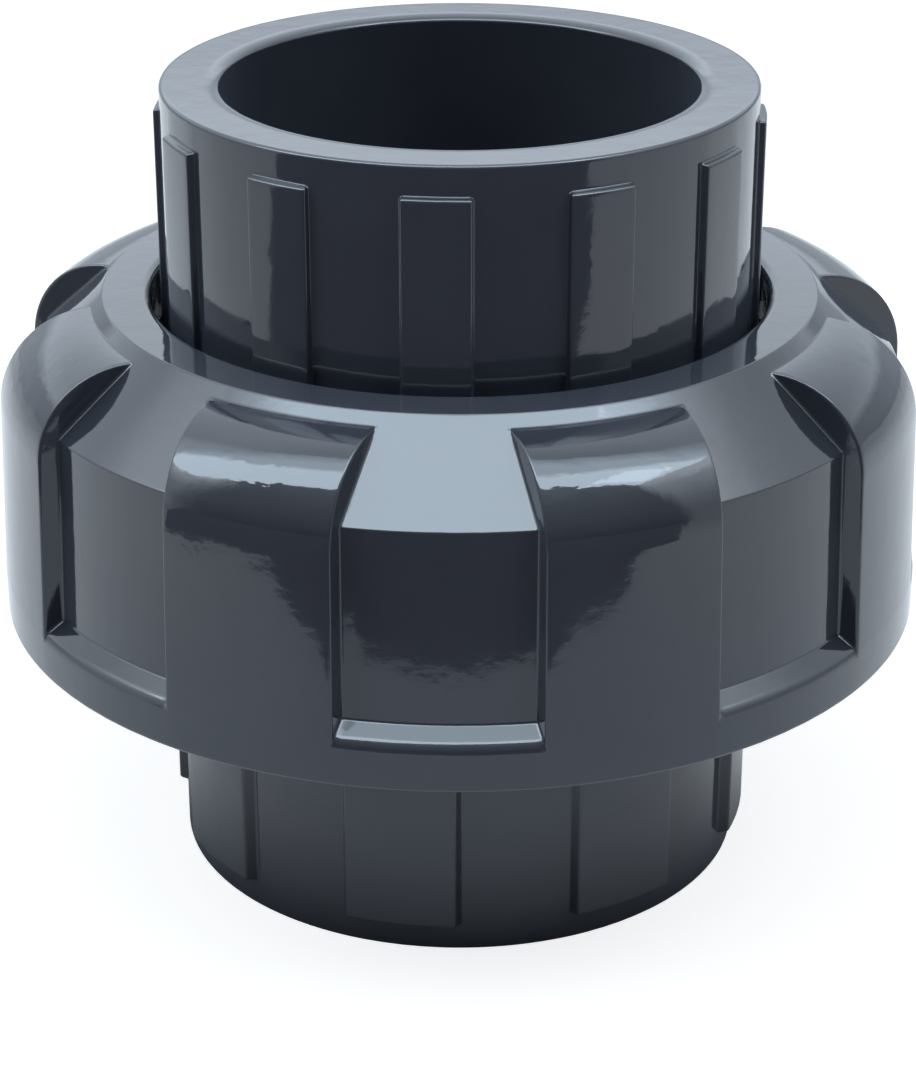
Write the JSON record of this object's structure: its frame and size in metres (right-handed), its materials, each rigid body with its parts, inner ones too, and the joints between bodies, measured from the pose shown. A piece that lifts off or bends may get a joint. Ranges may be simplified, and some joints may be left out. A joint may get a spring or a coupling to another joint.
{
  "type": "pvc pipe union",
  "caption": "Union with plain socket ends, an O-ring face seal and a lobed nut, for joining pressure pipe so that it can be taken apart again.",
  "frame": {"origin": "centre of the lower end face, on the pipe axis", "axes": "+Z along the pipe axis from the threaded end piece to the upper end piece, -Y towards the viewer, +X to the viewer's right"},
  "size_m": [0.1, 0.1, 0.0865],
  "materials": {
    "grey_pvc": "glossy moulded dark grey pvc",
    "seal_rubber": "matt black rubber"
  },
  "bodies": {
    "base": {"threaded_body": "grey_pvc", "o_ring": "seal_rubber"},
    "connector": {"end_connector": "grey_pvc"},
    "nut": {"union_nut": "grey_pvc"}
  },
  "joints": [
    {"name": "connector_lift", "type": "slide", "parent": "base", "child": "connector", "axis": [0, 0, 1], "range_m": [0, 0.0201]},
    {"name": "nut_turn", "type": "hinge", "parent": "connector", "child": "nut", "pos_m": [0, 0, 0.0468], "axis": [0, 0, 1], "range_deg": [0, 1440]}
  ],
  "couplings": [
    {"joint": "connector_lift", "follows": "nut_turn", "m_per_rad": 0.00079577}
  ]
}
